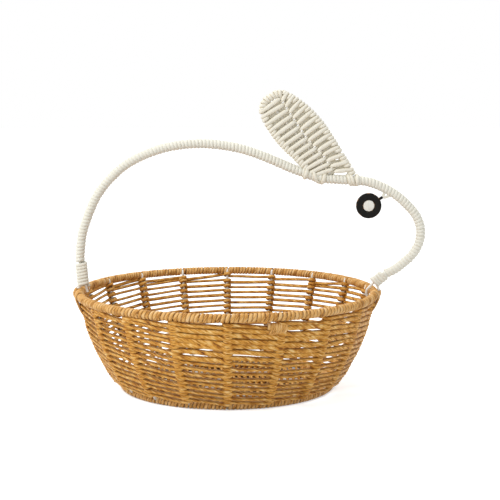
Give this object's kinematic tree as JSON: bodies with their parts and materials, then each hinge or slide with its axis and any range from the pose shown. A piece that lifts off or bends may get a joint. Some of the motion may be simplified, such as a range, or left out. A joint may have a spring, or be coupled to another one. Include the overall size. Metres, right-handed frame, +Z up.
{
  "type": "wicker easter basket",
  "caption": "Round wicker easter basket on a wire frame, with a tall cream-wrapped handle bent to a rabbit's outline, a woven ear and a flat disc eye.",
  "frame": {"origin": "on the floor under the middle of the base, on the flat underside of the base weave", "axes": "+X towards the nose end of the handle, +Y to the back, +Z up"},
  "size_m": [0.3534, 0.3026, 0.2935],
  "materials": {
    "twine": "golden twisted rush or paper twine, dry and slightly glossy",
    "coated_wire": "off-white powder coat",
    "cream_strand": "cream round resin strand, satin",
    "black_wood": "matt black paint on wood",
    "cream_wood": "matt cream paint on wood"
  },
  "bodies": {
    "basket": {"rim_wire": "coated_wire", "rim_wrap": "twine", "stake_01": "coated_wire", "stake_02": "coated_wire", "stake_03": "coated_wire", "stake_04": "coated_wire", "stake_05": "coated_wire", "stake_06": "coated_wire", "stake_07": "coated_wire", "stake_08": "coated_wire", "stake_09": "coated_wire", "stake_10": "coated_wire", "stake_11": "coated_wire", "stake_12": "coated_wire", "stake_13": "coated_wire", "stake_14": "coated_wire", "stake_15": "coated_wire", "stake_16": "coated_wire", "stake_17": "coated_wire", "stake_18": "coated_wire", "wall_row_01": "twine", "wall_row_02": "twine", "wall_row_03": "twine", "wall_row_04": "twine", "wall_row_05": "twine", "wall_row_06": "twine", "wall_row_07": "twine", "wall_row_08": "twine", "wall_row_09": "twine", "wall_row_10": "twine", "wall_row_11": "twine", "wall_row_12": "twine", "wall_row_13": "twine", "wall_row_14": "twine", "wall_row_15": "twine", "base_ring_wire": "coated_wire", "base_ring_wrap": "twine", "base_wire_01": "coated_wire", "base_wire_02": "coated_wire", "base_wire_03": "coated_wire", "base_wire_04": "coated_wire", "base_wire_05": "coated_wire", "base_weave": "twine"},
    "handle": {"handle_wire": "coated_wire", "handle_wrap": "cream_strand", "handle_binding_left": "cream_strand", "handle_binding_right": "cream_strand", "ear_frame": "coated_wire", "ear_spine": "coated_wire", "ear_weave": "cream_strand", "ear_binding_rear": "cream_strand", "ear_binding_front": "cream_strand", "eye_ring": "black_wood", "eye_centre": "cream_wood", "eye_peg": "black_wood", "eye_tie": "cream_strand"}
  },
  "joints": [
    {"name": "handle_lean", "type": "hinge", "parent": "basket", "child": "handle", "pos_m": [0, 0, 0.1005], "axis": [1, 0, 0], "range_deg": [-30, 30]}
  ]
}
